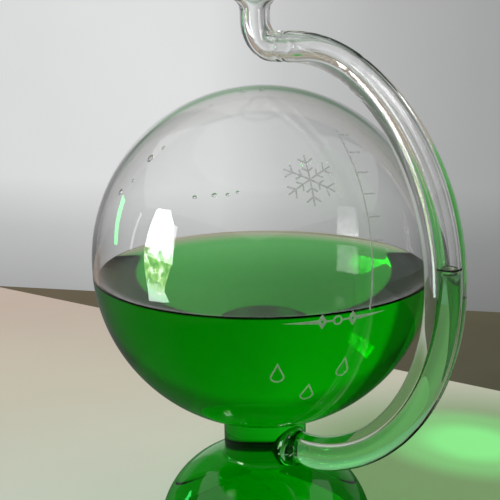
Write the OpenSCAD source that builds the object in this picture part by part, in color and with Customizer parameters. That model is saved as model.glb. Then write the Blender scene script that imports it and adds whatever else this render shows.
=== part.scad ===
// Weather glass: a blown globe on a hollow foot, both filled through a curved
// spout. Air is shut in above the liquid in the globe, so the liquid in the
// open spout stands higher or lower as the weather changes.
// The origin is on the globe's upright axis, in the plane that the foot stands on.
// The spout lies in the XZ plane, on the +X side.

/* [Globe] */
// Outside diameter of the globe
globe_d = 120; // [104:1:136]
// Wall of the globe
globe_wall = 1.6; // [1.2:0.1:2.4]
// Depth of the liquid's surface below the globe's middle
level_drop = 6; // [0:0.5:16]

/* [Neck] */
// Outside diameter of the neck
neck_d = 30; // [27:0.5:34]
// Wall of the neck
neck_wall = 1.8; // [1.4:0.1:2.4]
// Length of the neck between the foot and the globe
neck_len = 16; // [15.5:0.5:22]
// Radius of the fused fillets at the neck's two ends
weld_r = 1.5; // [0.8:0.1:2.2]

/* [Foot] */
// Widest diameter of the foot
foot_d = 80; // [74:1:92]
// Radius of the foot's dome, seen in section
dome_r = 33; // [30:0.5:36]
// Radius of the foot's rounded lower edge
edge_r = 7; // [5:0.5:9]
// Wall of the foot
foot_wall = 1.8; // [1.4:0.1:2.4]
// Thickness of the pushed-up floor of the foot
floor_wall = 2; // [1.6:0.1:2.6]
// Rise of the floor at its middle
floor_rise = 3; // [1.5:0.5:4]
// Width of the flat ring that the foot stands on
stand_w = 4; // [3:0.5:6]

/* [Spout] */
// Gap between the globe's outside and the spout's centre line, at the bend's own middle
spout_off = 11.3; // [10:0.1:14]
// Distance of the bend's middle from the globe's axis
bend_x = 9.8; // [6:0.2:12]
// Drop from the globe's foot on the neck to the spout's centre line at the neck
root_drop = 9.6; // [9:0.1:10]
// Diameter of the spout near the neck
root_d = 11.8; // [11:0.1:12.6]
// Diameter of the weld where the spout meets the neck
weld_d = 13.6; // [12.8:0.1:14.4]
// Diameter of the spout where it is thickest, beside the globe
belly_d = 12.4; // [11.8:0.1:13.4]
// Diameter of the spout along its top run and its elbow
crown_d = 10.2; // [9.8:0.1:11]
// Diameter of the spout's bore
bore_d = 5.3; // [4.6:0.1:5.8]
// Distance of the bore's middle outward from the tube's middle
bore_off = 1.1; // [0:0.1:1.3]
// Height of the spout's top run above the globe
crown_up = 13; // [11.5:0.1:15]
// Height of the liquid in the spout above the liquid in the globe
spout_head = 16.4; // [4:0.2:24]
// Angle on the bend, below its middle, where the spout's root is sealed to the tube
root_deg = -77; // [-78:0.5:-74]
// Angle on the bend where the tube starts to swell
heel_deg = -60; // [-66:1:-50]
// Angle on the bend where the tube is thickest
belly_deg = 16; // [5:1:25]
// Angle on the bend where the tube is sealed to its crown
crown_deg = 62; // [58:1:66]

/* [Mouth] */
// Distance of the mouth's axis behind the globe's axis
mouth_back = 3; // [0:0.5:6]
// Bend radius of the elbow below the mouth
elbow_r = 9; // [8:0.5:12]
// Straight run between the spout's seam and the elbow's bend
elbow_run = 6; // [3:0.5:8]
// Straight stem between the elbow's bend and the cup
stem_len = 2.5; // [1:0.5:6]
// Diameter of the cup at its rim, inside the bead
cup_d = 25; // [22:0.5:30]
// Height of the cup
cup_h = 19; // [16:0.5:24]
// Wall of the cup
cup_wall = 1.7; // [1.3:0.1:2]
// Radius of the cup's rounded bowl
bowl_r = 7; // [6:0.5:8]
// Height of the bowl's widest place above the cup's foot
bowl_z = 10.4; // [9.6:0.2:12]
// Thickness of the melted bead round the rim
bead_d = 2.3; // [2:0.1:2.8]
// Depth to which the bead has melted flat on the rim
bead_melt = 0.3; // [0.2:0.05:0.5]

/* [Moving level] */
// Share of the bend, in degrees, that the moving end of the column takes up
slug_deg = 5; // [3:0.5:8]
// Clearance between the moving end of the column and the bore
slug_gap = 0.2; // [0.1:0.05:0.3]

/* [Prints] */
// Thickness of the printed enamel
print_t = 0.15; // [0.1:0.01:0.3]
// Width of the printed lines
line_w = 0.5; // [0.4:0.05:0.8]
// Longitude of the scale, counted from the spout's plane
scale_lon = -8.5; // [-14:0.5:-4]
// Lean of the scale toward the spout, about the point where the level meets it
scale_lean = 5; // [0:0.5:8]
// Latitude of the scale's upper end on the globe
scale_top = 53; // [45:1:58]
// Step in latitude between the scale's marks
tick_step = 7; // [5:0.5:8]
// Length of the scale's marks
tick_len = 4.4; // [3:0.1:6]
// Number of the scale's marks
tick_count = 6; // [4:1:6]
// Step in latitude from the scale's upper end to its first mark
tick_start = 2; // [1:0.5:4]
// Step in latitude from the level pointer up to the scale's lower end
scale_gap = 1.5; // [1:0.5:8]
// Longitude of the level pointer's middle
pointer_lon = -19.2; // [-26:0.2:-18]
// Length of the level pointer
pointer_len = 34; // [30:0.5:36]
// Radius of the pointer's ring
pointer_ring_r = 1.3; // [1:0.1:2]
// Distance of the pointer's diamonds from its middle
diamond_x = 5.1; // [4.4:0.1:6]
// Half width of the pointer's diamonds
diamond_r = 1.6; // [1.3:0.1:1.8]
// Half height of the pointer's diamonds
diamond_h = 2.4; // [1.4:0.1:2.8]
// Radius of the hole in each diamond
diamond_hole_r = 0.45; // [0.3:0.05:0.6]
// Half width of the pointer's arms where they leave the diamonds
arm_w = 0.7; // [0.4:0.05:0.9]
// Size of the snow crystal
crystal_d = 17; // [12:0.5:20]
// Longitude of the snow crystal
crystal_lon = -24; // [-30:0.5:-20]
// Latitude of the snow crystal
crystal_lat = 36; // [30:0.5:42]
// Length of each raindrop
drop_len = 8; // [6:0.5:10]
// Number of raindrops
drop_count = 3; // [1:1:3]
// Longitude of the middle raindrop
drop_lon = -26; // [-32:0.5:-22]
// Step in longitude between the raindrops
drop_step = 11; // [10:0.5:14]
// Latitude of the outer raindrops
drop_lat = -24; // [-28:0.5:-20]
// Step in latitude down to the middle raindrop
drop_dip = 9; // [4:0.5:12]

/* [Hidden] */
$fn = 96;

// Film left free between a liquid and its glass, and under the enamel
wet_gap = 0.05;
// Reach of a cutting solid past what it cuts
past = 1;
// Angles on the bend by which the root's sweep, and its bore, start inside the neck
weld_sink = 2;
bore_sink = 6;
// Angle by which a bore is cut past the end of its length of tube
past_deg = 1;
// Power of the curve by which the weld widens toward the neck
weld_flare = 1.5;
// Share of a raindrop's length that is the radius of its round end
drop_share = 0.28;
// Lean of the snow crystal's twigs from its arm
twig_deg = 55;

// Radii
globe_r = globe_d/2;
globe_ri = globe_r - globe_wall;
neck_r = neck_d/2;
neck_ri = neck_r - neck_wall;
foot_r = foot_d/2;
bore_r = bore_d/2;
crown_r = crown_d/2;
bend_r = globe_r + spout_off;
bore_bend_r = bend_r + bore_off;

// Heights of the foot, the neck and the globe
dome_x = foot_r - dome_r;
shoulder_z = edge_r + sqrt(pow(dome_r, 2) - pow(neck_r - dome_x, 2));
join_z = shoulder_z + neck_len;
globe_z = join_z + sqrt(pow(globe_r, 2) - pow(neck_r, 2));
foot_mouth_z = edge_r + sqrt(pow(dome_r - foot_wall, 2) - pow(neck_ri - dome_x, 2));
globe_mouth_z = globe_z - sqrt(pow(globe_ri, 2) - pow(neck_ri, 2));
floor_r = foot_r - edge_r - stand_w;
floor_cap_r = (pow(floor_r, 2) + pow(floor_rise, 2))/(2*floor_rise);
level_z = globe_z - level_drop;

// The spout's bend about its own middle, then its crown and its straight top run
root_z = join_z - root_drop;
bend_z = root_z + sqrt(pow(bend_r, 2) - pow(neck_r - bend_x, 2));
weld_deg = -acos((neck_r - bend_x)/bend_r) - weld_sink;
crown_z = globe_z + globe_r + crown_up;
mouth_x = -mouth_back;
elbow_x = mouth_x + elbow_r;
seam_x = elbow_x + elbow_run;
stem_z = crown_z + elbow_r;
cup_z = stem_z + stem_len;
rim_z = cup_z + cup_h;

// The spout's level
spout_level_z = level_z + spout_head;
level_deg = asin((spout_level_z - bend_z)/bore_bend_r);
slug_from = level_deg - slug_deg;

// Latitude of the liquid's surface on the globe
level_lat = -asin(level_drop/globe_r);

// Middles of the two round surfaces that the neck is welded to, in half section
globe_c = [0, globe_z];
dome_c = [dome_x, edge_r];

// Sides of the swept tube and the steps along it
tube_sides = 24;
tube_steps = 28;
crown_steps = 6;
weld_steps = 6;
// Sides of the globe and the foot, and steps of a drawn arc
ball_sides = 160;
arc_steps = 16;

// Radius of the crown's arc that leads from a bend of radius r into the top run
function crown_radius(r) = (crown_z - bend_z - r*sin(crown_deg))/(1 - sin(crown_deg));

// Centre of the crown's arc for a bend of radius r
function crown_centre(r) =
    [bend_x + (r - crown_radius(r))*cos(crown_deg), bend_z + (r - crown_radius(r))*sin(crown_deg)];

// Smooth step from 0 to 1 as v goes from a to b
function ease(v, a, b) = let (t = min(1, max(0, (v - a)/(b - a)))) t*t*(3 - 2*t);

// Points of an arc in a section, up to but without its last point
function arc(c, r, from, to) =
    [for (i = [0:arc_steps - 1]) let (a = from + (to - from)*i/arc_steps) c + r*[cos(a), sin(a)]];

// Radius of the tube at an angle of the bend
function tube_r(deg) =
    root_d/2 + (belly_d - root_d)/2*ease(deg, heel_deg, belly_deg)
    + (crown_d - belly_d)/2*ease(deg, belly_deg, crown_deg);

// Radius of the weld, which widens toward the neck
function weld_radius(deg) =
    tube_r(deg) + (weld_d - root_d)/2*pow(ease(deg, root_deg, weld_deg), weld_flare);

// A stop on the tube: its point in the XZ plane, the direction outward from the bend, and its radius
function bend_stop(deg, r) =
    [[bend_x + bend_r*cos(deg), bend_z + bend_r*sin(deg)], [cos(deg), sin(deg)], r];
function crown_stop(deg, bend, r) = let (c = crown_centre(bend), t = crown_radius(bend))
    [[c[0] + t*cos(deg), c[1] + t*sin(deg)], [cos(deg), sin(deg)], r];

// Ring of points round a stop
function ring(s) =
    [for (i = [0:tube_sides - 1]) let (a = 360*i/tube_sides, out = s[2]*cos(a))
        [s[0][0] + out*s[1][0], s[2]*sin(a), s[0][1] + out*s[1][1]]];

// Middle of the fillet between the neck's side and a round surface of radius r about c
function fillet_c(c, r, side) =
    [neck_r + weld_r, c[1] + side*sqrt(pow(r + weld_r, 2) - pow(neck_r + weld_r - c[0], 2))];

// Point where that fillet meets the round surface
function fillet_end(c, r, side) = c + (fillet_c(c, r, side) - c)*r/(r + weld_r);

// Solid swept through a list of stops
module swept(stops) {
    n = tube_sides;
    last = (len(stops) - 1)*n;
    points = [for (s = stops) each ring(s)];
    side = [for (k = [0:len(stops) - 2], i = [0:n - 1]) let (j = (i + 1)%n)
        each [[k*n + i, (k + 1)*n + j, k*n + j], [k*n + i, (k + 1)*n + i, (k + 1)*n + j]]];
    ends = [[for (i = [0:n - 1]) i], [for (i = [n - 1:-1:0]) last + i]];
    polyhedron(points, concat(side, ends));
}

// Part of a round bar bent about a point of the XZ plane
module bent_bar(c, bend, r, from, to) {
    translate([c[0], 0, c[1]])
        rotate([90, 0, 0])
            rotate([0, 0, from])
                rotate_extrude(angle = to - from)
                    translate([bend, 0]) circle(r);
}

// The bore along the bend, into the neck at one end
module bend_bore(r, from = weld_deg + weld_sink - bore_sink, to = crown_deg + past_deg) {
    bent_bar([bend_x, bend_z], bore_bend_r, r, from, to);
}

// The bore over the crown and along the top run, past both of its ends
module crown_bore() {
    from = crown_deg - past_deg;
    step = (90 - from)/crown_steps;
    arc_stops = [for (i = [0:crown_steps]) crown_stop(from + i*step, bore_bend_r, bore_r)];
    swept(concat(arc_stops, [[[seam_x - past, crown_z], [0, 1], bore_r]]));
}

// The globe's ball, at any radius
module ball(r) {
    translate([0, 0, globe_z]) sphere(r, $fn = ball_sides);
}

// Half section of the foot, inset from its outside
module foot_section(inset) {
    intersection() {
        translate(dome_c) circle(dome_r - inset, $fn = ball_sides);
        translate([0, edge_r]) square([foot_r, dome_r]);
    }
    translate([0, edge_r]) square([dome_x, dome_r - inset]);
    translate([0, inset]) square([foot_r - edge_r, edge_r - inset]);
    intersection() {
        translate([foot_r - edge_r, edge_r]) circle(edge_r - inset);
        square([foot_r, edge_r]);
    }
}

// Half section of everything below the floor's arc, raised by a height
module under_floor(raise) {
    intersection() {
        square([floor_r, floor_rise + raise]);
        translate([0, floor_rise - floor_cap_r + raise]) circle(floor_cap_r, $fn = 2*ball_sides);
    }
}

// Half section of the neck with a concave fillet at each end
module neck_section() {
    low = fillet_c(dome_c, dome_r, 1);
    high = fillet_c(globe_c, globe_r, -1);
    low_end = fillet_end(dome_c, dome_r, 1);
    high_end = fillet_end(globe_c, globe_r, -1);
    difference() {
        polygon([[neck_ri, low_end[1]], low_end, low, [neck_r, low[1]],
                 [neck_r, high[1]], high, high_end, [neck_ri, high_end[1]]]);
        translate(low) circle(weld_r);
        translate(high) circle(weld_r);
    }
}

module globe_shell() {
    color([0.86, 0.9, 0.9, 0.35])
        difference() {
            ball(globe_r);
            ball(globe_ri);
            translate([0, 0, globe_z - globe_r - past]) cylinder(h = globe_r, r = neck_ri);
        }
}

module neck_tube() {
    color([0.84, 0.89, 0.88, 0.35])
        difference() {
            rotate_extrude() neck_section();
            ball(globe_r);
            rotate_extrude() foot_section(0);
            bend_bore(bore_r);
        }
}

module foot_shell() {
    color([0.86, 0.9, 0.9, 0.35])
        difference() {
            rotate_extrude()
                difference() {
                    foot_section(0);
                    foot_section(foot_wall);
                    translate([0, -past]) square([floor_r, edge_r]);
                }
            translate([0, 0, edge_r]) cylinder(h = dome_r + past, r = neck_ri);
        }
}

module foot_floor() {
    color([0.82, 0.87, 0.86, 0.4])
        rotate_extrude()
            difference() {
                under_floor(floor_wall);
                under_floor(0);
            }
}

module spout_root() {
    step = (root_deg - weld_deg)/weld_steps;
    stops = [for (i = [0:weld_steps]) let (deg = weld_deg + i*step) bend_stop(deg, weld_radius(deg))];
    color([0.84, 0.89, 0.88, 0.35])
        difference() {
            swept(stops);
            translate([0, 0, shoulder_z - dome_r]) cylinder(h = dome_r + neck_len + weld_d, r = neck_r);
            rotate_extrude() neck_section();
            rotate_extrude() foot_section(0);
            bend_bore(bore_r);
        }
}

module spout_tube() {
    step = (crown_deg - root_deg)/tube_steps;
    stops = [for (i = [0:tube_steps]) let (deg = root_deg + i*step) bend_stop(deg, tube_r(deg))];
    color([0.86, 0.9, 0.9, 0.35])
        difference() {
            swept(stops);
            bend_bore(bore_r);
        }
}

module spout_crown() {
    step = (90 - crown_deg)/crown_steps;
    arc_stops = [for (i = [0:crown_steps]) let (deg = crown_deg + i*step)
        crown_stop(deg, bend_r, tube_r(deg))];
    color([0.86, 0.9, 0.9, 0.35])
        difference() {
            swept(concat(arc_stops, [[[seam_x, crown_z], [0, 1], crown_r]]));
            crown_bore();
        }
}

module spout_elbow() {
    color([0.84, 0.89, 0.88, 0.35])
        difference() {
            elbow_bar(crown_r, 0);
            elbow_bar(bore_r, past);
        }
}

// The elbow as a bar: a straight run, a quarter bend and the stem, reaching on at both ends
module elbow_bar(r, reach) {
    translate([elbow_x, 0, crown_z])
        rotate([0, 90, 0]) cylinder(h = elbow_run + reach, r = r);
    bent_bar([elbow_x, stem_z], elbow_r, r, 180, 270);
    translate([mouth_x, 0, stem_z]) cylinder(h = stem_len + reach, r = r);
}

// Half section of the cup: it flares from the stem's radius into a bowl, and its side stands upright
module cup_section(stem, bowl, height) {
    c = [cup_d/2 - bowl_r, bowl_z];
    flare = (pow(c[1], 2) + pow(c[0] - stem, 2) - pow(bowl, 2))/(2*(bowl + c[0] - stem));
    flare_c = [stem + flare, 0];
    lean = atan2(c[1], c[0] - flare_c[0]);
    side = c[0] + bowl;
    polygon(concat(arc(flare_c, flare, 180, lean), arc(c, bowl, lean - 180, 0),
                   [[side, bowl_z], [side, height], [0, height], [0, 0]]));
}

module mouth_cup() {
    color([0.86, 0.9, 0.9, 0.35])
        translate([mouth_x, 0, cup_z])
            difference() {
                rotate_extrude() cup_section(crown_r, bowl_r, cup_h);
                rotate_extrude() cup_section(bore_r, bowl_r - cup_wall, cup_h + past);
            }
}

module mouth_bead() {
    color([0.86, 0.9, 0.9, 0.35])
        translate([mouth_x, 0, rim_z])
            difference() {
                rotate_extrude()
                    translate([(cup_d - cup_wall)/2, bead_d/2 - bead_melt]) circle(bead_d/2);
                translate([0, 0, -bead_d]) cylinder(h = bead_d, r = cup_d);
            }
}

module globe_liquid() {
    color([0.02, 0.55, 0.12, 0.8])
        intersection() {
            ball(globe_ri - wet_gap);
            translate([0, 0, globe_mouth_z])
                cylinder(h = level_z - globe_mouth_z, r = globe_r + past);
        }
}

module neck_liquid() {
    color([0.01, 0.42, 0.06, 0.8])
        translate([0, 0, foot_mouth_z])
            cylinder(h = globe_mouth_z - foot_mouth_z, r = neck_ri - wet_gap);
}

module foot_liquid() {
    color([0.02, 0.5, 0.08, 0.8])
        rotate_extrude()
            difference() {
                intersection() {
                    foot_section(foot_wall + wet_gap);
                    square([foot_r, foot_mouth_z]);
                }
                under_floor(floor_wall + wet_gap);
            }
}

module spout_liquid() {
    color([0.35, 0.72, 0.35, 0.7])
        difference() {
            bend_bore(bore_r - wet_gap, to = slug_from);
            translate([0, 0, shoulder_z]) cylinder(h = neck_len, r = neck_ri);
        }
}

module spout_level() {
    color([0.45, 0.78, 0.42, 0.8])
        intersection() {
            bend_bore(bore_r - slug_gap, slug_from, level_deg + slug_deg);
            translate([bend_x, -bore_d, spout_level_z - globe_r])
                cube([bend_r + bore_d, 2*bore_d, globe_r]);
        }
}

// The thin skin on the globe that holds every print
module print_skin() {
    difference() {
        ball(globe_r + wet_gap + print_t);
        ball(globe_r + wet_gap);
    }
}

// A flat motif thrown onto the globe at a longitude and latitude
module on_globe(lon, lat) {
    intersection() {
        print_skin();
        translate([0, 0, globe_z])
            rotate([0, -lat, lon])
                rotate([90, 0, 90]) linear_extrude(height = globe_r + past) children();
    }
}

// The scale's place: upright at zero longitude becomes leaning at the scale's longitude
module on_scale() {
    translate([0, 0, globe_z])
        rotate([0, -level_lat, scale_lon])
            rotate([-scale_lean, 0, 0])
                rotate([0, level_lat, 0]) children();
}

module scale_line() {
    low = level_lat + scale_gap;
    color("white")
        on_scale()
            rotate([90, 0, 0])
                rotate([0, 0, low])
                    rotate_extrude(angle = scale_top - low)
                        translate([globe_r + wet_gap, -line_w/2]) square([print_t, line_w]);
}

module scale_marks() {
    color("white")
        for (i = [0:tick_count - 1]) {
            lat = scale_top - tick_start - i*tick_step;
            wide = tick_len/(globe_r*cos(lat))*180/PI;
            gap = line_w/(globe_r*cos(lat))*180/PI;
            on_scale()
                rotate([0, 0, gap])
                    rotate_extrude(angle = wide)
                        rotate([0, 0, lat])
                            translate([globe_r + wet_gap, -line_w/2]) square([print_t, line_w]);
        }
}

// One arm of the pointer: a long spike that comes out of a diamond with a hole in it
module pointer_arm() {
    difference() {
        union() {
            polygon([[diamond_x, arm_w], [pointer_len/2, 0], [diamond_x, -arm_w]]);
            polygon([[diamond_x - diamond_r, 0], [diamond_x, diamond_h],
                     [diamond_x + diamond_r, 0], [diamond_x, -diamond_h]]);
        }
        translate([diamond_x, 0]) circle(diamond_hole_r);
    }
}

module level_pointer() {
    color("white")
        on_globe(pointer_lon, level_lat) {
            pointer_arm();
            mirror([1, 0]) pointer_arm();
            difference() {
                union() {
                    circle(pointer_ring_r + line_w/2);
                    square([2*(diamond_x - diamond_r) + line_w, line_w], center = true);
                }
                circle(pointer_ring_r - line_w/2);
            }
        }
}

// One arm of the snow crystal, with two pairs of twigs, of which the inner ones are shorter
// so that they stay clear of the next arm's
module crystal_arm() {
    translate([-line_w/2, 0]) square([line_w, crystal_d/2]);
    for (y = [crystal_d/6, crystal_d/3], side = [-1, 1])
        translate([0, y])
            rotate([0, 0, side*twig_deg])
                translate([-line_w/2, 0]) square([line_w, (crystal_d/3 + y)/4]);
}

module crystal_print() {
    color("white")
        on_globe(crystal_lon, crystal_lat)
            for (i = [0:5]) rotate([0, 0, 60*i]) crystal_arm();
}

// A raindrop of a given length: a round end that runs straight into a point
module raindrop(long) {
    r = long*drop_share;
    lean = asin(r/(long - r));
    polygon(concat([[0, long - r]], arc([0, 0], r, 180 - lean, 360 + lean), [r*[cos(lean), sin(lean)]]));
}

module raindrop_print() {
    color("white")
        for (i = [0:drop_count - 1]) {
            k = i - (drop_count - 1)/2;
            on_globe(drop_lon + k*drop_step, drop_lat - drop_dip*(1 - abs(k)))
                difference() {
                    raindrop(drop_len);
                    raindrop(drop_len - line_w/drop_share);
                }
        }
}

globe_shell();
neck_tube();
foot_shell();
foot_floor();
spout_root();
spout_tube();
spout_crown();
spout_elbow();
mouth_cup();
mouth_bead();
globe_liquid();
neck_liquid();
foot_liquid();
spout_liquid();
spout_level();
scale_line();
scale_marks();
level_pointer();
crystal_print();
raindrop_print();
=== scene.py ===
"""Looks of the weather glass: one blown glass skin, its green liquid, the moving
column in the spout, the condensation on the globe's wall, and the printed enamel.

Lengths of the glass and its liquid are in millimetres, as in the part's source, and
become metres where a mesh is made. The stage around it is in metres."""

import math

import bmesh
import bpy
import numpy as np
from mathutils import Matrix, Vector
from mathutils.bvhtree import BVHTree
from mathutils.interpolate import poly_3d_calc


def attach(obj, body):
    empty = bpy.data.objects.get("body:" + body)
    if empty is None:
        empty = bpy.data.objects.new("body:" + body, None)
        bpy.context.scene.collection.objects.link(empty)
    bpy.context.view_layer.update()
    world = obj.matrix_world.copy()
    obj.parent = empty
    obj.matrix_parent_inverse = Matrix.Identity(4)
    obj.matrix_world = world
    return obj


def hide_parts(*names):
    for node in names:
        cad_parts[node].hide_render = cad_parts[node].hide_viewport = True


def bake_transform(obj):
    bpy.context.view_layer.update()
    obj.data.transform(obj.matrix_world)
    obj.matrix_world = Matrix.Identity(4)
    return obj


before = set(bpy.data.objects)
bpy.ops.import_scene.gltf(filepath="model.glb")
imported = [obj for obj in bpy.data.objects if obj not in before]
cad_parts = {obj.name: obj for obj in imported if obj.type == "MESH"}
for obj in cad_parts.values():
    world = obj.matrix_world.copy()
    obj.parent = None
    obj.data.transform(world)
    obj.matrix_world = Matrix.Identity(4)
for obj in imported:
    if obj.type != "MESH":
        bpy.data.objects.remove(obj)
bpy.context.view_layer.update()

MM = 0.001

# Sizes from the part's source. The globe, the neck, the foot and its floor:
GLOBE_R, GLOBE_WALL, GLOBE_Z = 60.0, 1.6, 113.110
NECK_R, NECK_WALL = 15.0, 1.8  # the foot has the neck's wall
DOME_R, DOME_X, EDGE_R = 33.0, 7.0, 7.0
FLOOR_R, FLOOR_RISE, FLOOR_WALL = 29.0, 3.0, 2.0
FLOOR_CAP_R = (FLOOR_R**2 + FLOOR_RISE**2) / (2 * FLOOR_RISE)
WELD_R = 1.5
LEVEL_Z = 107.11
# The spout's bend, its bore, its tube and its weld on the neck:
BEND_X, BEND_Z, BEND_R = 9.8, 116.526, 71.3
BORE_R, BORE_BEND_R = 2.65, 72.4
ROOT_DEG, HEEL_DEG, BELLY_DEG, CROWN_DEG = -77.0, -60.0, 16.0, 62.0
WELD_DEG = -87.82
ROOT_R, BELLY_R, CROWN_R = 5.9, 6.2, 5.1
WELD_GAIN, WELD_POWER = 0.9, 1.5
# The top run, the elbow, the cup and the level in the spout:
CROWN_Z = 186.11
ELBOW_X, ELBOW_Z, ELBOW_R = 6.0, 195.11, 9.0
SEAM_X = 12.0
MOUTH_X = -3.0
CUP_Z, CUP_H, CUP_R, CUP_WALL = 197.61, 19.0, 12.5, 1.7
BOWL_R, BOWL_Z = 7.0, 10.4
RIM_Z = CUP_Z + CUP_H
BEAD_R, BEAD_LIFT = 1.15, 0.85
SPOUT_LEVEL_Z = 123.51

# Height to which the liquid climbs the glass, and how far from the wall, in the globe
MENISCUS, MENISCUS_REACH = 2.2, 2.3
CONTACT_Z = LEVEL_Z + MENISCUS
# The same in the bore: its height, its share above the level, and how steep it is at the wall
BORE_MENISCUS, BORE_RISE, BORE_STEEP = 2.0, 0.6, 7
# Depth to which a liquid's mesh reaches into its glass
WET, BORE_WET = 0.1, 0.12
# Thickness of the film that bends light at the liquid's surface
FILM = 0.06
# Waists at the crown's seal, in degrees of the bend, and at the elbow's seam: width and depth
CROWN_SEAL, ELBOW_SEAL = (1.0, 0.16), (0.9, 0.22)
# Angles of the bend at which the outside, the bore and the column start inside the neck
OUTER_FROM, BORE_FROM, COLUMN_FROM = -81.0, -92.0, -87.3
# Sides of the turned and the swept surfaces
GLOBE_SIDES, TUBE_SIDES, BORE_SIDES = 224, 80, 64
# Points closer than this are one point
SAME_POINT = 1e-4

# Index of refraction of glass and of the liquid
N_GLASS, N_LIQUID = 1.47, 1.33


# Mesh helpers
def piece(name, verts, faces, slots):
    """A mesh object from points in millimetres. slots holds one material index per face."""
    mesh = bpy.data.meshes.new(name)
    mesh.from_pydata([tuple(c * MM for c in v) for v in verts], [], faces)
    mesh.polygons.foreach_set("material_index", slots)
    mesh.polygons.foreach_set("use_smooth", [True] * len(mesh.polygons))
    mesh.update()
    obj = bpy.data.objects.new(name, mesh)
    bpy.context.scene.collection.objects.link(obj)
    return obj


def arc(c, r, start, stop, steps):
    """Points of an arc about c, in degrees, with both ends."""
    turns = [math.radians(start + (stop - start) * i / steps) for i in range(steps + 1)]
    return [(c[0] + r * math.cos(t), c[1] + r * math.sin(t)) for t in turns]


def clean(points):
    """The points without those that repeat the one before."""
    out = [points[0]]
    for p in points[1:]:
        if math.dist(p, out[-1]) > SAME_POINT:
            out.append(p)
    return out


def lathe(name, profile, sides, slots=None):
    """A closed body turned about Z from a profile that starts and ends on the axis.
    slots holds one material index per step of the profile."""
    inner = profile[1:-1]
    verts = [(0, 0, profile[0][1])]
    for r, z in inner:
        for i in range(sides):
            a = 2 * math.pi * i / sides
            verts.append((r * math.cos(a), r * math.sin(a), z))
    verts.append((0, 0, profile[-1][1]))
    top = len(verts) - 1
    faces, index = [], []
    slots = slots or [0] * (len(profile) - 1)
    for i in range(sides):
        j = (i + 1) % sides
        faces.append((0, 1 + j, 1 + i))
        index.append(slots[0])
    for k in range(len(inner) - 1):
        base = 1 + k * sides
        for i in range(sides):
            j = (i + 1) % sides
            faces.append((base + i, base + j, base + sides + j, base + sides + i))
            index.append(slots[k + 1])
    last = 1 + (len(inner) - 1) * sides
    for i in range(sides):
        j = (i + 1) % sides
        faces.append((last + i, last + j, top))
        index.append(slots[-1])
    return piece(name, verts, faces, index)


def skin(name, rings):
    """A closed body through rings of points, with a fan at each end."""
    sides = len(rings[0])
    verts = [tuple(p) for ring in rings for p in ring]
    first = tuple(np.mean(rings[0], axis=0))
    last = tuple(np.mean(rings[-1], axis=0))
    a, b = len(verts), len(verts) + 1
    verts += [first, last]
    faces = []
    for i in range(sides):
        j = (i + 1) % sides
        faces.append((a, i, j))
        for k in range(len(rings) - 1):
            n = k * sides
            faces.append((n + j, n + i, n + sides + i, n + sides + j))
        n = (len(rings) - 1) * sides
        faces.append((b, n + j, n + i))
    return piece(name, verts, faces, [0] * len(faces))


def outward(obj):
    """Turns every face of a closed mesh outward."""
    bm = bmesh.new()
    bm.from_mesh(obj.data)
    bmesh.ops.recalc_face_normals(bm, faces=bm.faces)
    bm.to_mesh(obj.data)
    bm.free()


def surface_normals(obj):
    """What keep_normals needs of a mesh before it is cut: a search tree, its points and faces,
    and its smooth normals."""
    mesh = obj.data
    points = [v.co.copy() for v in mesh.vertices]
    faces = [tuple(p.vertices) for p in mesh.polygons]
    return BVHTree.FromPolygons(points, faces), points, faces, [v.normal.copy() for v in mesh.vertices]


def keep_normals(obj, sources):
    """Gives each corner the smooth normal of the surface that its face was cut from.
    A face's material index says which source that is."""
    mesh = obj.data
    known, out = {}, [None] * len(mesh.loops)
    for poly in mesh.polygons:
        tree, points, faces, normals = sources[poly.material_index]
        for loop in poly.loop_indices:
            key = (poly.material_index, mesh.loops[loop].vertex_index)
            if key not in known:
                at, _, face, _ = tree.find_nearest(mesh.vertices[key[1]].co)
                corners = faces[face]
                weights = poly_3d_calc([points[i] for i in corners], at)
                n = sum((normals[i] * w for i, w in zip(corners, weights)), Vector()).normalized()
                known[key] = n
            n = known[key]
            out[loop] = n if n.dot(poly.normal) > 0 else -n
    mesh.normals_split_custom_set(out)


def combine(target, other, operation):
    """Joins another closed body to the target, or cuts it out, and drops the other."""
    mod = target.modifiers.new("cut", "BOOLEAN")
    mod.object = other
    mod.operation = operation
    mod.solver = "MANIFOLD"
    mod.material_mode = "INDEX"
    evaluated = target.evaluated_get(bpy.context.evaluated_depsgraph_get())
    mesh = bpy.data.meshes.new_from_object(evaluated)
    target.modifiers.clear()
    old = target.data
    target.data = mesh
    bpy.data.meshes.remove(old)
    bpy.data.objects.remove(other)


# The vessel's sections
def fillet_centre(c, big, side, x, r):
    """Middle of a fillet of radius r between the neck's side at x and a round surface about c."""
    return (x + r, c[1] + side * math.sqrt((big + r) ** 2 - (x + r - c[0]) ** 2))


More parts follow.
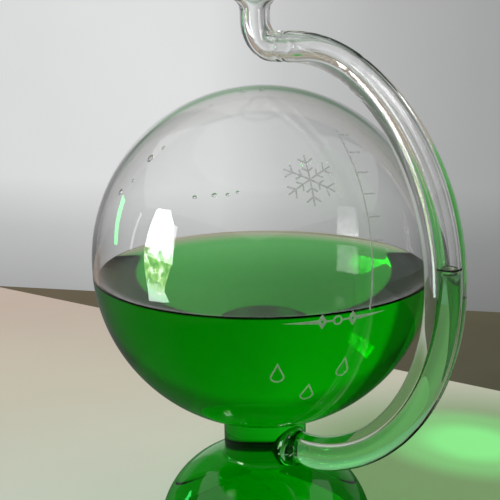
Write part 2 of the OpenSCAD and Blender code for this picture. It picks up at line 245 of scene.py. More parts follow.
def vessel_section(inset, grow, sphere_wall, floor_z, contact=None):
    """Section of the vessel's outside, or of its cavity where inset, sphere_wall and floor_z say so.
    grow makes it wider all round. Returns the points, and the number of steps below the height
    contact, where the liquid's surface ends. The last number of each arc is its count of steps."""
    dome, neck = (DOME_X, EDGE_R), NECK_R - inset + grow
    dome_r, edge_r = DOME_R - inset + grow, EDGE_R - inset + grow
    ball_r, fillet = GLOBE_R - sphere_wall + grow, WELD_R + inset - grow
    low = fillet_centre(dome, dome_r, 1, neck, fillet)
    high = fillet_centre((0, GLOBE_Z), ball_r, -1, neck, fillet)
    low_deg = math.degrees(math.atan2(low[1] - dome[1], low[0] - dome[0]))
    high_deg = math.degrees(math.atan2(high[1] - GLOBE_Z, high[0]))
    cap = (0, FLOOR_RISE - FLOOR_CAP_R + floor_z - grow)
    reach = math.degrees(math.asin(FLOOR_R / FLOOR_CAP_R))
    points = arc(cap, FLOOR_CAP_R, 90, 90 - reach, 14)
    points += arc((DOME_R, EDGE_R), edge_r, -90, 0, 20)
    points += arc(dome, dome_r, 0, low_deg, 40)
    points += arc(low, fillet, low_deg + 180, 180, 10)
    points += [(neck, low[1] + (high[1] - low[1]) * i / 8) for i in range(1, 8)]
    points += arc(high, fillet, 180, high_deg + 180, 10)
    if contact is None:
        points += arc((0, GLOBE_Z), ball_r, high_deg, 90, 130)
        return clean(points), 0
    line_deg = math.degrees(math.asin((contact - GLOBE_Z) / ball_r))
    points += arc((0, GLOBE_Z), ball_r, high_deg, line_deg, 56)
    below = len(clean(points)) - 1
    points += arc((0, GLOBE_Z), ball_r, line_deg, 90, 74)
    return clean(points), below


def surface_section(wall, drop):
    """Section of the liquid's surface, from its wall inward to the axis, at distances from the
    wall that grow as it flattens."""
    steps = [0, 0.15, 0.35, 0.6, 0.9, 1.3, 1.8, 2.4, 3.2, 4.2, 5.6, 7.5, 10, 14, 20, 30, 42, wall]
    return [(wall - s, LEVEL_Z - drop + MENISCUS * math.exp(-s / MENISCUS_REACH)) for s in steps]


def bath_section():
    """Section of the liquid: the cavity's wall up to the contact line, then its surface."""
    contact = CONTACT_Z - FILM / 2
    wall, below = vessel_section(NECK_WALL, WET, GLOBE_WALL, FLOOR_WALL, contact)
    return wall[: below + 1] + surface_section(wall[below][0], FILM / 2)[1:]


def film_section():
    """Closed section of the film on the liquid, and the number of points of its top."""
    wall = GLOBE_R - GLOBE_WALL + WET
    rim = math.sqrt(wall**2 - (CONTACT_Z - GLOBE_Z) ** 2)
    top = surface_section(rim, 0)
    under = surface_section(rim, FILM)
    return under[::-1] + top, len(top)


# The spout's rings
def ease(v, a, b):
    """Smooth step from 0 at a to 1 at b."""
    t = min(1.0, max(0.0, (v - a) / (b - a)))
    return t * t * (3 - 2 * t)


def tube_r(deg):
    """Radius of the tube at an angle of the bend, as in the part's source."""
    swell = (BELLY_R - ROOT_R) * ease(deg, HEEL_DEG, BELLY_DEG)
    return ROOT_R + swell + (CROWN_R - BELLY_R) * ease(deg, BELLY_DEG, CROWN_DEG)


def weld_r(deg):
    """Radius of the tube with its swelling toward the neck."""
    return tube_r(deg) + WELD_GAIN * ease(deg, ROOT_DEG, WELD_DEG) ** WELD_POWER


def crown_arc(bend_r):
    """Centre and radius of the crown's arc that leads from a bend into the top run."""
    s = math.sin(math.radians(CROWN_DEG))
    r = (CROWN_Z - BEND_Z - bend_r * s) / (1 - s)
    off = bend_r - r
    return (BEND_X + off * math.cos(math.radians(CROWN_DEG)), BEND_Z + off * s), r


def ring(p, out, r, sides):
    """A ring of points about p, a point in the XZ plane. Its first point lies in the direction out."""
    pts = []
    for i in range(sides):
        a = 2 * math.pi * i / sides
        o = r * math.cos(a)
        pts.append((p[0] + o * out[0], r * math.sin(a), p[1] + o * out[1]))
    return np.array(pts)


def on_bend(c, bend_r, deg):
    """Point of a bend about c at an angle, and its direction from c, both in the XZ plane."""
    t = math.radians(deg)
    out = (math.cos(t), math.sin(t))
    return (c[0] + bend_r * out[0], c[1] + bend_r * out[1]), out


def seal(s, at, width, depth):
    """Shallow waist where two lengths of glass are sealed together."""
    return -depth * math.exp(-(((s - at) / width) ** 2))


def spout_rings(bend_r, radius, sides, start):
    """Rings along the whole spout from an angle of the bend to the cup's foot, about one per degree.
    radius gives the radius at an angle of the bend, or along the run counted from its seam."""
    crown_steps, run_steps, elbow_steps = 20, 14, 24
    rings = []
    count = round(CROWN_DEG - start)
    for i in range(count):
        deg = start + (CROWN_DEG - start) * i / count
        p, out = on_bend((BEND_X, BEND_Z), bend_r, deg)
        rings.append(ring(p, out, radius(deg, None), sides))
    c, r = crown_arc(bend_r)
    for i in range(crown_steps):
        deg = CROWN_DEG + (90 - CROWN_DEG) * i / crown_steps
        p, out = on_bend(c, r, deg)
        rings.append(ring(p, out, radius(deg, None), sides))
    for i in range(run_steps):
        x = c[0] + (ELBOW_X - c[0]) * i / run_steps
        rings.append(ring((x, CROWN_Z), (0, 1), radius(None, SEAM_X - x), sides))
    for i in range(elbow_steps):
        t = math.radians(270 - 90 * i / elbow_steps)
        out = (-math.cos(t), -math.sin(t))
        p = (ELBOW_X - ELBOW_R * out[0], ELBOW_Z - ELBOW_R * out[1])
        run = SEAM_X - ELBOW_X + ELBOW_R * math.radians(90 * i / elbow_steps)
        rings.append(ring(p, out, radius(None, run), sides))
    return rings


def cup_profile(stem, bowl):
    """Section of the cup from a stem of that radius to the foot of the bead, round a bowl
    of that radius: pairs of a radius and a height above the cup's foot."""
    c = (CUP_R - BOWL_R, BOWL_Z)
    flare = (c[1] ** 2 + (c[0] - stem) ** 2 - bowl**2) / (2 * (bowl + c[0] - stem))
    fc = (stem + flare, 0)
    lean = math.degrees(math.atan2(c[1], c[0] - fc[0]))
    return arc(fc, flare, 180, lean, 14) + arc(c, bowl, lean - 180, 0, 18)


def outer_radius(deg, run):
    """The drawn glass: a faint wave on the bend, and a waist at the crown and at the elbow's seam."""
    if deg is not None:
        wave = 0.012 * math.sin(deg * 0.7)
        return weld_r(deg) + wave + seal(deg, CROWN_DEG, *CROWN_SEAL)
    return CROWN_R + seal(run, 0, *ELBOW_SEAL)


def bore_radius(deg, run):
    """The bore keeps one radius, whatever the place."""
    return BORE_R


def flare_rings(sides, flare=1.3):
    """Rings that carry the spout's outside into the neck's side in a small fused fillet."""
    steps, sunk = 8, 0.02
    rings = []
    for k in range(steps + 1):
        t = math.radians(90 * k / steps)
        wide, clear = flare * (1 - math.cos(t)), flare * (1 - math.sin(t)) - sunk
        rings.append(ring_at_neck(sides, wide, clear))
    # Two more rings lead on into the neck's wall
    rings.append(ring_at_neck(sides, flare, -0.5))
    rings.append(ring_at_neck(sides, flare - 0.6, -1.0))
    return rings[::-1]


def ring_at_neck(sides, wide, clear):
    """Ring of the spout's outside, widened, whose points all lie that far off the neck's side.
    Each point's angle of the bend is found by halving."""
    halvings = 40
    pts = []
    for i in range(sides):
        a = 2 * math.pi * i / sides
        lo, hi = -95.0, -70.0
        for _ in range(halvings):
            deg = (lo + hi) / 2
            r = weld_r(deg) + wide
            p, out = on_bend((BEND_X, BEND_Z), BEND_R, deg)
            o = r * math.cos(a)
            q = (p[0] + o * out[0], r * math.sin(a), p[1] + o * out[1])
            if math.hypot(q[0], q[1]) < NECK_R + clear:
                lo = deg
            else:
                hi = deg
        pts.append(q)
    return np.array(pts)


# Glass
def make_glass():
    """The whole vessel as one fused skin. Its first material is glass in air, its second glass
    against liquid."""
    outside, _ = vessel_section(0, 0, 0, 0)
    glass = lathe("glass_skin", outside, GLOBE_SIDES)
    inside, below = vessel_section(NECK_WALL, 0, GLOBE_WALL, FLOOR_WALL, CONTACT_Z)
    slots = [1] * below + [0] * (len(inside) - 1 - below)
    cavity = lathe("cavity", inside, GLOBE_SIDES, slots)

    bead_z = RIM_Z + BEAD_LIFT - CUP_Z
    mid = CUP_R - CUP_WALL / 2
    lift = math.degrees(math.acos((CUP_R - mid) / BEAD_R))
    rings = flare_rings(TUBE_SIDES)
    rings += spout_rings(BEND_R, outer_radius, TUBE_SIDES, OUTER_FROM)
    profile = cup_profile(CROWN_R, BOWL_R) + arc((mid, bead_z), BEAD_R, -lift, 112, 22)
    rings += [ring((MOUTH_X, CUP_Z + z), (1, 0), r, TUBE_SIDES) for r, z in clean(profile)]
    spout = skin("spout", rings)

    past_rim = 6
    hollow = spout_rings(BORE_BEND_R, bore_radius, BORE_SIDES, BORE_FROM)
    profile = cup_profile(BORE_R, BOWL_R - CUP_WALL) + arc((mid, bead_z), BEAD_R, 180 + lift, 100, 18)
    profile += [(profile[-1][0], CUP_H + past_rim)]
    hollow += [ring((MOUTH_X, CUP_Z + z), (1, 0), r, BORE_SIDES) for r, z in clean(profile)]
    bore = skin("bore", hollow)

    # While the pieces are joined, a face's index says which piece it comes from, or that
    # the liquid wets it
    parts = (glass, cavity, spout, bore)
    wetted = len(parts)
    for index, obj in enumerate(parts):
        outward(obj)
        for _ in range(wetted + 1):
            obj.data.materials.append(M["glass"])
        indices = [index] * len(obj.data.polygons)
        if obj is cavity:
            indices = [wetted if p.material_index else index for p in obj.data.polygons]
        obj.data.polygons.foreach_set("material_index", indices)
    sources = [surface_normals(obj) for obj in parts]
    sources.append(sources[parts.index(cavity)])
    combine(glass, spout, "UNION")
    combine(glass, cavity, "DIFFERENCE")
    combine(glass, bore, "DIFFERENCE")
    keep_normals(glass, sources)
    slots = [int(p.material_index == wetted) for p in glass.data.polygons]
    glass.data.materials.clear()
    glass.data.materials.append(M["glass"])
    glass.data.materials.append(M["glass_wet"])
    glass.data.polygons.foreach_set("material_index", slots)
    return glass


# Liquids
def make_bath():
    """The liquid in the globe, neck and foot, which only takes up light, and the film on it,
    which bends it. The glass's wetted side does the bending at the wall."""
    bath = lathe("green_bath", bath_section(), GLOBE_SIDES)
    outward(bath)
    bath.data.materials.append(M["bath"])
    section, tops = film_section()
    slots = [1] * (len(section) - tops) + [0] * (tops - 1)
    film = lathe("bath_surface", section, GLOBE_SIDES, slots)
    outward(film)
    film.data.materials.append(M["surface"])
    film.data.materials.append(M["film_under"])
    return bath, film


def make_column(sides=BORE_SIDES, count=170):
    """The liquid in the spout, from the neck's inside to its hollow surface."""
    r = BORE_R + BORE_WET
    edge_z = SPOUT_LEVEL_Z + BORE_MENISCUS * BORE_RISE
    rings = []
    for k in range(count + 1):
        pts = []
        for i in range(sides):
            a = 2 * math.pi * i / sides
            far = BORE_BEND_R + r * math.cos(a)
            end = math.degrees(math.asin((edge_z - BEND_Z) / far))
            deg = COLUMN_FROM + (end - COLUMN_FROM) * k / count
            t = math.radians(deg)
            pts.append((BEND_X + far * math.cos(t), r * math.sin(a), BEND_Z + far * math.sin(t)))
        rings.append(np.array(pts))
    # Rings of the hollow surface, as shares of the bore's radius
    centre = rings[-1].mean(axis=0)
    for share in (0.99, 0.97, 0.94, 0.91, 0.87, 0.82, 0.76, 0.68, 0.58, 0.4, 0.1):
        flat = centre + (rings[count] - centre) * share
        flat[:, 2] = SPOUT_LEVEL_Z + BORE_MENISCUS * (share**BORE_STEEP - 1 + BORE_RISE)
        rings.append(flat)
    column = skin("spout_column", rings)
    outward(column)
    column.data.materials.append(M["column"])
    return column


# Condensation on the globe's inner wall: longitude, latitude, width, height and tilt
DROPS = [
    (-94.6, 41.5, 2.1, 2.8, 10),
    (-90.7, 46.0, 1.2, 1.5, 0),
    (-102.6, 28.4, 1.5, 2.0, -10),
    (-97.4, 33.0, 1.0, 1.2, 0),
    (-64.9, 30.9, 1.5, 1.2, 0),
    (-57.8, 31.9, 1.8, 1.4, 5),
    (-53.1, 32.2, 1.3, 1.1, 0),
    (-49.7, 33.0, 1.1, 1.0, 0),
    (-87.2, 67.4, 0.9, 0.9, 0),
    (-78, 80, 1.7, 1.5, 0),
    (-40, 83, 1.5, 1.6, 0),
]


def make_drops():
    """Small flat drops that cling to the inside of the globe."""
    sides, levels = 28, 9
    flatness, sunk = 0.32, 0.1
    verts, faces = [], []
    inner = GLOBE_R - GLOBE_WALL
    for lon, lat, wide, tall, tilt in DROPS:
        lon, lat, tilt = (math.radians(a) for a in (lon, lat, tilt))
        n = Vector((math.cos(lat) * math.cos(lon), math.cos(lat) * math.sin(lon), math.sin(lat)))
        east = Vector((-math.sin(lon), math.cos(lon), 0))
        north = n.cross(east)
        u = east * math.cos(tilt) + north * math.sin(tilt)
        v = north * math.cos(tilt) - east * math.sin(tilt)
        base = len(verts)
        high = flatness * min(wide, tall)
        for k in range(levels):
            t = math.pi * (k + 0.5) / levels
            for i in range(sides):
                a = 2 * math.pi * i / sides
                e, w = wide / 2 * math.sin(t) * math.cos(a), tall / 2 * math.sin(t) * math.sin(a)
                flat = n * inner + u * e + v * w
                depth = (high if t < math.pi / 2 else sunk) * math.cos(t)
                p = flat.normalized() * (inner - depth)
                verts.append((p.x, p.y, p.z + GLOBE_Z))
        for k in range(levels - 1):
            for i in range(sides):
                j, m = (i + 1) % sides, base + k * sides
                faces.append((m + i, m + j, m + sides + j, m + sides + i))
        for m, flip in ((base, True), (base + (levels - 1) * sides, False)):
            loop = [m + i for i in range(sides)]
            faces.append(tuple(loop[::-1] if flip else loop))
    drops = piece("condensation", verts, faces, [0] * len(faces))
    outward(drops)
    drops.data.materials.append(M["dew"])
    return drops


# Stage lines: the table's far edge and the foot of the wall
EDGE_A, EDGE_B = Vector((-0.328, 0.112, 0)), Vector((-0.049, 0.189, 0))
WALL_A, WALL_B = Vector((-0.836, 0.405, 0)), Vector((-0.440, 0.700, 0))


# Materials
def material(name):
    """A material with an empty node tree, and that tree."""
    mat = bpy.data.materials.new(name)
    mat.use_nodes = True
    mat.node_tree.nodes.clear()
    return mat, mat.node_tree


def clear_shader(name, ior, shade, lamp, absorb=None):
    """A clear material that lets lamps through, so that what stands behind it isn't black.
    shade tints what is seen through it, and lamp what a lamp sends through. absorb is the
    colour and the density of what it takes up."""
    mat, tree = material(name)
    link = tree.links.new
    out = tree.nodes.new("ShaderNodeOutputMaterial")
    mix = tree.nodes.new("ShaderNodeMixShader")
    path = tree.nodes.new("ShaderNodeLightPath")
    see = tree.nodes.new("ShaderNodeBsdfTransparent")
    see.inputs["Color"].default_value = lamp
    body = tree.nodes.new("ShaderNodeBsdfPrincipled")
    body.inputs["Base Color"].default_value = shade
    body.inputs["Transmission Weight"].default_value = 1.0
    body.inputs["Roughness"].default_value = 0.0
    body.inputs["IOR"].default_value = ior
    link(path.outputs["Is Shadow Ray"], mix.inputs["Fac"])
    link(body.outputs["BSDF"], mix.inputs[1])
    link(see.outputs["BSDF"], mix.inputs[2])
    link(mix.outputs["Shader"], out.inputs["Surface"])
    if absorb:
        colour, density = absorb
        volume = tree.nodes.new("ShaderNodeVolumeAbsorption")
        volume.inputs["Color"].default_value = colour
        volume.inputs["Density"].default_value = density
        link(volume.outputs["Volume"], out.inputs["Volume"])
    return mat


WHITE = (1, 1, 1, 1)
# Colour and density of the liquid in the globe and in the spout, and the glass's faint tints
GREEN = ((0.0, 0.951, 0.15, 1), 200.0)
THIN_GREEN = ((0.0, 0.96, 0.15, 1), 200.0)
GLASS_SHADE, GLASS_LAMP = (0.997, 1.0, 0.998, 1), (0.95, 0.965, 0.955, 1)


def position(tree, centre=(0, 0, 0), size=(1, 1, 1), turn=0.0):
    """Object coordinates counted from a centre, in units of a size, about a turned axis."""
    where = tree.nodes.new("ShaderNodeTexCoord")
    mapping = tree.nodes.new("ShaderNodeMapping")
    mapping.vector_type = "TEXTURE"
    mapping.inputs["Location"].default_value = centre
    mapping.inputs["Scale"].default_value = size
    mapping.inputs["Rotation"].default_value = (0, 0, math.radians(turn))
    tree.links.new(where.outputs["Object"], mapping.inputs["Vector"])
    return mapping.outputs["Vector"]


def ramp(tree, value, stops, smooth="LINEAR"):
    """A colour ramp: stops holds pairs of a place and a colour or a grey."""
    made = tree.nodes.new("ShaderNodeValToRGB")
    bar = made.color_ramp
    bar.interpolation = smooth
    while len(bar.elements) < len(stops):
        bar.elements.new(0.5)
    for element, (at, tone) in zip(bar.elements, stops):
        element.position = at
        element.color = (tone, tone, tone, 1) if isinstance(tone, (int, float)) else (*tone, 1)
    tree.links.new(value, made.inputs["Fac"])
    return made.outputs["Color"]


def gradient(tree, vector, stops, kind="LINEAR", smooth="LINEAR"):
    """A colour ramp along X of a vector, or from its end to its origin where kind is SPHERICAL."""
    made = tree.nodes.new("ShaderNodeTexGradient")
    made.gradient_type = kind
    tree.links.new(vector, made.inputs["Vector"])
    return ramp(tree, made.outputs["Fac"], stops, smooth)


def blend(tree, kind, factor, a, b):
    """Mix of two colours; factor, a and b are sockets or values."""
    made = tree.nodes.new("ShaderNodeMix")
    made.data_type = "RGBA"
    made.blend_type = kind
    factor_in, a_in, b_in, colour_out = 0, 6, 7, 2
    for index, value in ((factor_in, factor), (a_in, a), (b_in, b)):
        if isinstance(value, bpy.types.NodeSocket):
            tree.links.new(value, made.inputs[index])
        else:
            made.inputs[index].default_value = value
    return made.outputs[colour_out]


def component(tree, vector, axis):
    """One component of a vector."""
    made = tree.nodes.new("ShaderNodeSeparateXYZ")
    tree.links.new(vector, made.inputs[0])
    return made.outputs[axis]


def noise(tree, scale, detail, rough=0.5):
    """Procedural noise in object coordinates."""
    where = tree.nodes.new("ShaderNodeTexCoord")
    made = tree.nodes.new("ShaderNodeTexNoise")
    made.inputs["Scale"].default_value = scale
    made.inputs["Detail"].default_value = detail
    made.inputs["Roughness"].default_value = rough
    tree.links.new(where.outputs["Object"], made.inputs["Vector"])
    return made.outputs["Fac"]


def grain(tree, scale, low, high):
    """A faint procedural unevenness, as a grey to multiply with."""
    return ramp(tree, noise(tree, scale, 3.0), [(0.3, low), (0.7, high)])


def enamel(name):
    """Thin, matt, half see-through enamel with a faint mottle."""
    mottle = [(0.35, (0.42, 0.43, 0.41)), (0.65, (0.58, 0.59, 0.56))]
    mat, tree = material(name)
    out = tree.nodes.new("ShaderNodeOutputMaterial")
    body = tree.nodes.new("ShaderNodeBsdfPrincipled")
    tone = ramp(tree, noise(tree, 900.0, 4.0), mottle)
    tree.links.new(tone, body.inputs["Base Color"])
    body.inputs["Roughness"].default_value = 0.45
    body.inputs["Alpha"].default_value = 0.45
    tree.links.new(body.outputs["BSDF"], out.inputs["Surface"])
    return mat


def stage_shader(name, tone, albedo, glow):
    """A matt stage material. tone builds its colour, of which albedo scatters light and glow
    is given off."""
    mat, tree = material(name)
    out = tree.nodes.new("ShaderNodeOutputMaterial")
    body = tree.nodes.new("ShaderNodeBsdfPrincipled")
    colour = tone(tree)
    scaled = blend(tree, "MULTIPLY", 1.0, colour, (albedo, albedo, albedo, 1))
    tree.links.new(scaled, body.inputs["Base Color"])
    tree.links.new(colour, body.inputs["Emission Color"])
    body.inputs["Emission Strength"].default_value = glow
    body.inputs["Roughness"].default_value = 0.8
    body.inputs["Specular IOR Level"].default_value = 0.0
    tree.links.new(body.outputs["BSDF"], out.inputs["Surface"])
    return mat


def wall_tone(tree):
    """Lit from the left, fading to the right and near the floor, and dim above and beside the
    picture. The stops run along the wall from its left, and up it from below the floor."""
    lit = [(0.0, 0.24), (0.165, 0.27), (0.205, 0.66), (0.37, 0.71), (0.42, 0.70),
           (0.485, 0.54), (0.56, 0.44), (0.64, 0.36), (0.76, 0.30), (0.9, 0.2)]
    dim, high = (0.41, 0.56, 0.42), (0.62, 0.63, 0.62)
    rise = [(0.04, 0.55), (0.125, 0.74), (0.19, 1.0), (0.44, 1.0),
            (0.53, dim), (0.72, dim), (0.84, high)]
    cool = (0.99, 1.0, 1.005, 1)
    across = gradient(tree, position(tree, (-0.4, 0, 0), (1.4, 1, 1)), lit)
    upward = gradient(tree, position(tree, (0, -0.2, 0), (1, 1, 1), 90), rise)
    both = blend(tree, "MULTIPLY", 1.0, across, upward)
    both = blend(tree, "MULTIPLY", 1.0, both, cool)
    return blend(tree, "MULTIPLY", 1.0, both, grain(tree, 7.0, 0.985, 1.015))


def bare_table(tree):
    """Pale wood, greener toward the globe's shade."""
    wood = [(0.0, (0.50, 0.41, 0.345)), (0.6, (0.53, 0.50, 0.405)), (1.0, (0.53, 0.56, 0.47))]
    shaded = (0.20, 0.305, 0.145, 1)
    long = gradient(tree, position(tree, (-0.34, 0.11, 0), (0.30, 1, 1), -29), wood)
    by_foot = position(tree, (0.03, 0.095, 0), (0.165, 0.165, 1))
    shade = gradient(tree, by_foot, [(0.15, 0.0), (0.62, 1.0)], "SPHERICAL", "EASE")
    return blend(tree, "MIX", shade, long, shaded)


def far_table_tone(tree):
    """The table as it is seen through the glass: without the pool of light."""
    return blend(tree, "MULTIPLY", 1.0, bare_table(tree), grain(tree, 9.0, 0.975, 1.02))


def table_tone(tree):
    """The table with the green light that the globe throws on it at the right."""
    green_light = (0.27, 0.80, 0.27, 1)
    by_spout = position(tree, (-0.004, 0.131, 0), (0.054, 0.042, 1), 20)
    pool = gradient(tree, by_spout, [(0.02, 0.0), (0.40, 0.45), (0.75, 1.0)], "SPHERICAL", "EASE")
    lit = blend(tree, "MIX", pool, bare_table(tree), green_light)
    return blend(tree, "MULTIPLY", 1.0, lit, grain(tree, 9.0, 0.975, 1.02))


def mirrored_tone(tree):
    """The table as the glass mirrors it: light at the left and dark at the right."""
    return gradient(tree, position(tree, (-0.25, 0, 0), (0.30, 1, 1)),
                    [(0.0, 0.16), (0.5, 0.08), (0.68, 0.06), (0.85, 0.01)])


# The floor's painted shade: its dark tone at its right
GROUND_SHADE = (0.072, 0.078, 0.05)


def ground_tone(tree):
    """The floor, with painted shade: a little lighter at the left, dark toward the right."""
    near = gradient(tree, position(tree, (-0.9, 0, 0), (0.9, 1, 1)),
                    [(0.0, (0.145, 0.12, 0.082)), (1.0, GROUND_SHADE)])
    return blend(tree, "MULTIPLY", 1.0, near, grain(tree, 6.0, 0.9, 1.1))


def dim_tone(tree):
    """The floor as it is seen through the glass, with painted shade: dark toward the right."""
    turn = math.degrees(math.atan2(WALL_B.y - WALL_A.y, WALL_B.x - WALL_A.x))
    across = gradient(tree, position(tree, WALL_A, (0.8, 1, 1), turn),
                      [(0.42, (0.29, 0.26, 0.20)), (0.66, GROUND_SHADE)])
    return blend(tree, "MULTIPLY", 1.0, across, grain(tree, 6.0, 0.9, 1.1))


def room_tone(tree):
    """The round backdrop: grey, and darker toward the floor."""
    up = component(tree, position(tree, (0, 0, -0.2)), "Z")
    return ramp(tree, up, [(0.05, 0.22), (0.5, 0.42), (0.9, 0.38)])


def window_tone(tree):
    """A bright window: sky, foliage below it and a pale sill. Noise frays the foliage's ends."""
    fray = 0.5
    clumps = noise(tree, 13.0, 5.0, 0.62)
    leaves = ramp(tree, clumps, [(0.38, (0.03, 0.10, 0.02)), (0.47, (0.20, 0.36, 0.08)),
                                 (0.55, (0.48, 0.62, 0.28)), (0.63, (1.0, 1.0, 0.95))])
    frayed = tree.nodes.new("ShaderNodeMath")
    frayed.operation = "MULTIPLY_ADD"
    frayed.inputs[1].default_value = fray
    tree.links.new(clumps, frayed.inputs[0])
    tree.links.new(component(tree, position(tree), "Y"), frayed.inputs[2])
    height = frayed.outputs["Value"]
    mask = ramp(tree, height, [(0.08, 0.0), (0.10, 1.0), (0.33, 1.0), (0.36, 0.0)])
    plain = ramp(tree, height, [(0.05, (0.55, 0.72, 0.60)), (0.33, (1.0, 1.0, 1.0))])
    return blend(tree, "MIX", mask, plain, leaves)


def pale_tone(tree):
    """Uneven white light."""
    return ramp(tree, grain(tree, 12.0, 0.7, 1.0), [(0.0, (0.6, 0.66, 0.62)), (1.0, (1.0, 1.0, 1.0))])


def glow_tone(tree):
    """Uneven green light."""
    return ramp(tree, grain(tree, 12.0, 0.7, 1.0), [(0.0, (0.04, 0.6, 0.14)), (1.0, (0.08, 1.0, 0.22))])


# All materials
M = {
    "glass": clear_shader("glass", N_GLASS, GLASS_SHADE, GLASS_LAMP),
    "glass_wet": clear_shader("glass_wet", N_GLASS / N_LIQUID, WHITE, WHITE),
    "bath": clear_shader("bath", 1.0, WHITE, WHITE, absorb=GREEN),
    "surface": clear_shader("surface", N_LIQUID, WHITE, WHITE),
    "film_under": clear_shader("film_under", 1.0, WHITE, WHITE),
    "column": clear_shader("column", N_LIQUID, WHITE, WHITE, absorb=THIN_GREEN),
    "dew": clear_shader("dew", N_LIQUID, WHITE, WHITE),
    "enamel": enamel("enamel"),
    "table": stage_shader("table", table_tone, albedo=0.5, glow=0.62),
    "mirrored_table": stage_shader("mirrored_table", mirrored_tone, albedo=0.0, glow=1.0),
    "ground": stage_shader("ground", ground_tone, albedo=0.3, glow=0.85),
    "ground_through_glass": stage_shader("ground_through_glass", dim_tone, albedo=0.3, glow=0.9),
    "wall": stage_shader("wall", wall_tone, albedo=0.1, glow=1.0),
    "room": stage_shader("room", room_tone, albedo=0.1, glow=1.0),
    "window": stage_shader("window", window_tone, albedo=0.0, glow=20.0),
    "inner_window": stage_shader("inner_window", pale_tone, albedo=0.0, glow=24.0),
    "faint_window": stage_shader("faint_window", pale_tone, albedo=0.0, glow=4.0),
    "green_glow": stage_shader("green_glow", glow_tone, albedo=0.0, glow=9.0),
    "ceiling": stage_shader("ceiling", pale_tone, albedo=0.0, glow=0.9),
    "table_through_glass": stage_shader("table_through_glass", far_table_tone, albedo=0.5, glow=0.6),
}

# The object. Its prints are the CAD's own pieces
glass = make_glass()
bath, film = make_bath()
column = make_column()
drops = make_drops()

for obj in (glass, bath, film, drops):
    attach(obj, "vessel")
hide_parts("globe_shell", "neck_tube", "foot_shell", "foot_floor", "spout_root",
            "spout_tube", "spout_crown", "spout_elbow", "mouth_cup", "mouth_bead")
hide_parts("globe_liquid", "neck_liquid", "foot_liquid")
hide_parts("spout_liquid", "spout_level")
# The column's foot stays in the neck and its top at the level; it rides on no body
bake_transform(column)

PRINTS = ("scale_line", "scale_marks", "level_pointer", "crystal_print", "raindrop_print")
for name in PRINTS:
    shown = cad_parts[name]
    shown.data.materials.clear()
    shown.data.materials.append(M["enamel"])

# Stage
GROUND_Z, ROOM_TOP = -0.156, 1.9
# How far the table reaches to the left and the right of EDGE_A and toward the camera, and its thickness
TABLE_LEFT, TABLE_RIGHT, TABLE_DEEP, TABLE_THICK = 0.85, 1.45, 1.3, 0.03
# Near edge of the table that the glass mirrors
MIRRORED_FROM, MIRRORED_TO = (-0.9, -0.24, 0), (0.6, -0.24, 0)
# Half a side of the floor and of the ceiling
GROUND_HALF, CEILING_HALF = 1.4, 3
# Ends of the wall, counted along it from WALL_A
WALL_LEFT, WALL_RIGHT = -0.7, 1.2
# Radius and sides of the round backdrop
ROOM_R, ROOM_SIDES = 1.25, 96


def stage_mesh(name, points, faces, mat, place=None):
    """A piece of the stage from points in metres."""
    mesh = bpy.data.meshes.new(name)
    mesh.from_pydata([tuple(c) for c in points], [], faces)
    mesh.update()
    obj = bpy.data.objects.new(name, mesh)
    if place is not None:
        obj.matrix_world = place
    bpy.context.scene.collection.objects.link(obj)
    obj.data.materials.append(M[mat])
    return obj


def stage_plane(name, corners, mat, place=None):
    """A flat piece of the stage."""
    return stage_mesh(name, corners, [tuple(range(len(corners)))], mat, place)


def square(half, z):
    """Corners of a level square about the upright axis."""
    return [(-half, -half, z), (half, -half, z), (half, half, z), (-half, half, z)]


def seen_by(obj, camera=False, diffuse=False, glossy=False, transmission=False, shadow=False):
    """Says which rays meet a piece of the stage: the camera's own, those that light other
    surfaces, those that the glass mirrors, those that come through it, and a lamp's."""
    obj.visible_camera, obj.visible_diffuse = camera, diffuse
    obj.visible_glossy, obj.visible_transmission = glossy, transmission
    obj.visible_shadow = shadow


def upright(way, out, origin):
    """Place of a piece that is drawn upright: its X runs along way, and it faces out."""
    place = Matrix((way, Vector((0, 0, 1)), out)).transposed().to_4x4()
    place.translation = origin
    return place


# The table, its edge and the floor, some of them split by who sees them
along = (EDGE_B - EDGE_A).normalized()
away = Vector((-along.y, along.x, 0))
far = EDGE_A - along * TABLE_LEFT
near = EDGE_A + along * TABLE_RIGHT
down = Vector((0, 0, -TABLE_THICK))
table_corners = [far - away * TABLE_DEEP, near - away * TABLE_DEEP, near, far]
table = stage_plane("table_top", table_corners, "table")
seen_by(table, camera=True, diffuse=True, shadow=True)
table_through = stage_plane("table_through_glass", table_corners, "table_through_glass")
seen_by(table_through, transmission=True)
board = stage_plane("table_edge", [far, near, near + down, far + down], "ground")
seen_by(board, camera=True, diffuse=True, transmission=True, shadow=True)
mirrored = stage_plane("table_in_glass", [MIRRORED_FROM, MIRRORED_TO, near, far], "mirrored_table")
seen_by(mirrored, glossy=True)
ground_corners = square(GROUND_HALF, GROUND_Z)
ground = stage_plane("ground", ground_corners, "ground")
seen_by(ground, camera=True, glossy=True)
ground_through = stage_plane("ground_through_glass", ground_corners, "ground_through_glass")
seen_by(ground_through, diffuse=True, transmission=True)

ceiling = stage_plane("ceiling", square(CEILING_HALF, ROOM_TOP), "ceiling")
seen_by(ceiling, glossy=True, transmission=True)

wall_way = (WALL_B - WALL_A).normalized()
wall_place = upright(wall_way, wall_way.cross(Vector((0, 0, 1))), WALL_A)
wall_corners = [(WALL_LEFT, GROUND_Z, 0), (WALL_RIGHT, GROUND_Z, 0)]
wall_corners += [(WALL_RIGHT, ROOM_TOP, 0), (WALL_LEFT, ROOM_TOP, 0)]
stage_plane("wall", wall_corners, "wall", wall_place)

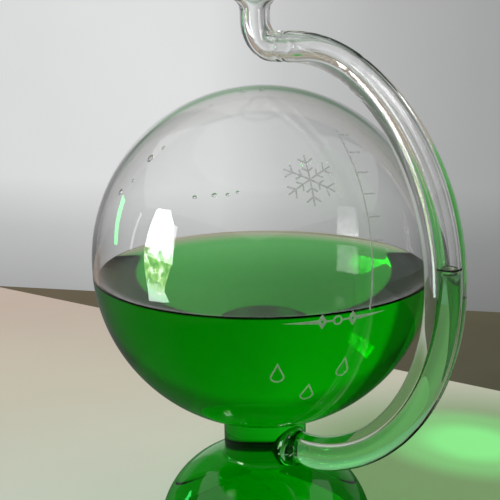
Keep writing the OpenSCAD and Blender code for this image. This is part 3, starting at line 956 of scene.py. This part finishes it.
# The rest of the room: a round backdrop, kept out of the reflections so that these stay dark
points = []
for z in (GROUND_Z, ROOM_TOP):
    for i in range(ROOM_SIDES):
        a = 2 * math.pi * i / ROOM_SIDES
        points.append((ROOM_R * math.cos(a), ROOM_R * math.sin(a), z))
faces = []
for i in range(ROOM_SIDES):
    j = (i + 1) % ROOM_SIDES
    faces.append((i, j, ROOM_SIDES + j, ROOM_SIDES + i))
backdrop = stage_mesh("backdrop", points, faces, "room")
seen_by(backdrop, camera=True, diffuse=True, transmission=True)


# Light
LAMP_AIM = Vector((0, 0, 0.11))


def towards(az, el):
    """Direction of an azimuth and an elevation in degrees. Azimuth 0 is the front, -Y."""
    a, e = math.radians(az), math.radians(el)
    return Vector((math.sin(a) * math.cos(e), -math.cos(a) * math.cos(e), math.sin(e)))


def lamp(name, az, el, distance, side, power):
    """A soft square lamp in a direction from the globe, which doesn't show in the glass."""
    light = bpy.data.lights.new(name, "AREA")
    light.shape = "RECTANGLE"
    light.size, light.size_y = side, side
    light.energy = power
    obj = bpy.data.objects.new(name, light)
    obj.location = LAMP_AIM + towards(az, el) * distance
    obj.rotation_mode = "QUATERNION"
    obj.rotation_quaternion = towards(az, el).to_track_quat("Z", "Y")
    obj.visible_camera = False
    obj.visible_glossy = False
    obj.visible_transmission = False
    bpy.context.scene.collection.objects.link(obj)


lamp("room_top", 0, 89, distance=1.5, side=1.7, power=12.0)
lamp("room_left", -60, 35, distance=1.1, side=0.9, power=5.0)

# Cards: bright shapes that only the glass and the liquid see, and how far off they stand
CARD_FAR = 0.85
# Corners of each: azimuth and elevation from the globe's middle
WINDOW = [
    (-28, -28), (-8, -28), (-14, -11), (-9, 3), (-9, 11),
    (-14, 24), (-22, 30), (-33, 27), (-31, 5), (-27, -11),
]
INNER = [(-28, 4), (-9, 3), (-12, 24), (-29, 25)]
BAR = [(-44, 3), (-42, 3), (-43, 20), (-45, 20)]
SLIVER = [(-61, 0), (-57, 1), (-66, 16), (-72, 15)]
globe_middle = Vector((0, 0, GLOBE_Z * MM))


def card(name, az, corners, mat, **seen):
    """An upright card that faces the globe from an azimuth."""
    back = towards(az, 0)
    place = upright(Vector((0, 0, 1)).cross(back), back, globe_middle + back * CARD_FAR)
    points = []
    for a, e in corners:
        turn = math.radians(a - az)
        rise = math.tan(math.radians(e)) / math.cos(turn)
        points.append((CARD_FAR * math.tan(turn), CARD_FAR * rise, 0))
    seen_by(stage_plane(name, points, mat, place), **seen)


card("window", -24, WINDOW, "window", glossy=True)
card("inner_window", -14, INNER, "inner_window", transmission=True)
card("window_bar", -43, BAR, "faint_window", glossy=True)
card("green_sliver", -63, SLIVER, "green_glow", glossy=True)

ROOM_LIGHT, ROOM_STRENGTH = (0.80, 0.80, 0.78, 1), 0.06
world = bpy.data.worlds.new("room")
world.use_nodes = True
world.node_tree.nodes["Background"].inputs["Color"].default_value = ROOM_LIGHT
world.node_tree.nodes["Background"].inputs["Strength"].default_value = ROOM_STRENGTH
bpy.context.scene.world = world
bpy.context.scene.view_settings.view_transform = "Standard"

# Camera: where it stands from the globe's middle in degrees and millimetres, its focal length
# in pixels, and the pixel of the picture on which the globe's middle lies
AZ, EL, ROLL = 48.949, 14.199, 0.606
DISTANCE, FOCAL = 353.6, 1000.0
AIM_U, AIM_V, FRAME_PX = 263.2, 256.22, 500.0
SENSOR = 36.0
d = towards(AZ, EL)
x_axis = Vector((0, 0, 1)).cross(d).normalized()
y_axis = d.cross(x_axis)
base = Matrix((x_axis, y_axis, d))
turned = Matrix.Rotation(math.radians(ROLL), 3, "Z")
ray = Vector(((AIM_U - FRAME_PX / 2) / FOCAL, -(AIM_V - FRAME_PX / 2) / FOCAL, -1)).normalized()
look = Vector((0, 0, -1)).rotation_difference(ray).to_matrix()
world_to_camera = look @ turned @ base
camera_data = bpy.data.cameras.new("camera")
camera_data.sensor_width = SENSOR
camera_data.lens = SENSOR * FOCAL / FRAME_PX
camera_data.clip_start, camera_data.clip_end = 0.01, 20
camera = bpy.data.objects.new("camera", camera_data)
bpy.context.scene.collection.objects.link(camera)
eye = Matrix.Translation(globe_middle + d * DISTANCE * MM)
camera.matrix_world = eye @ world_to_camera.transposed().to_4x4()
bpy.context.scene.camera = camera
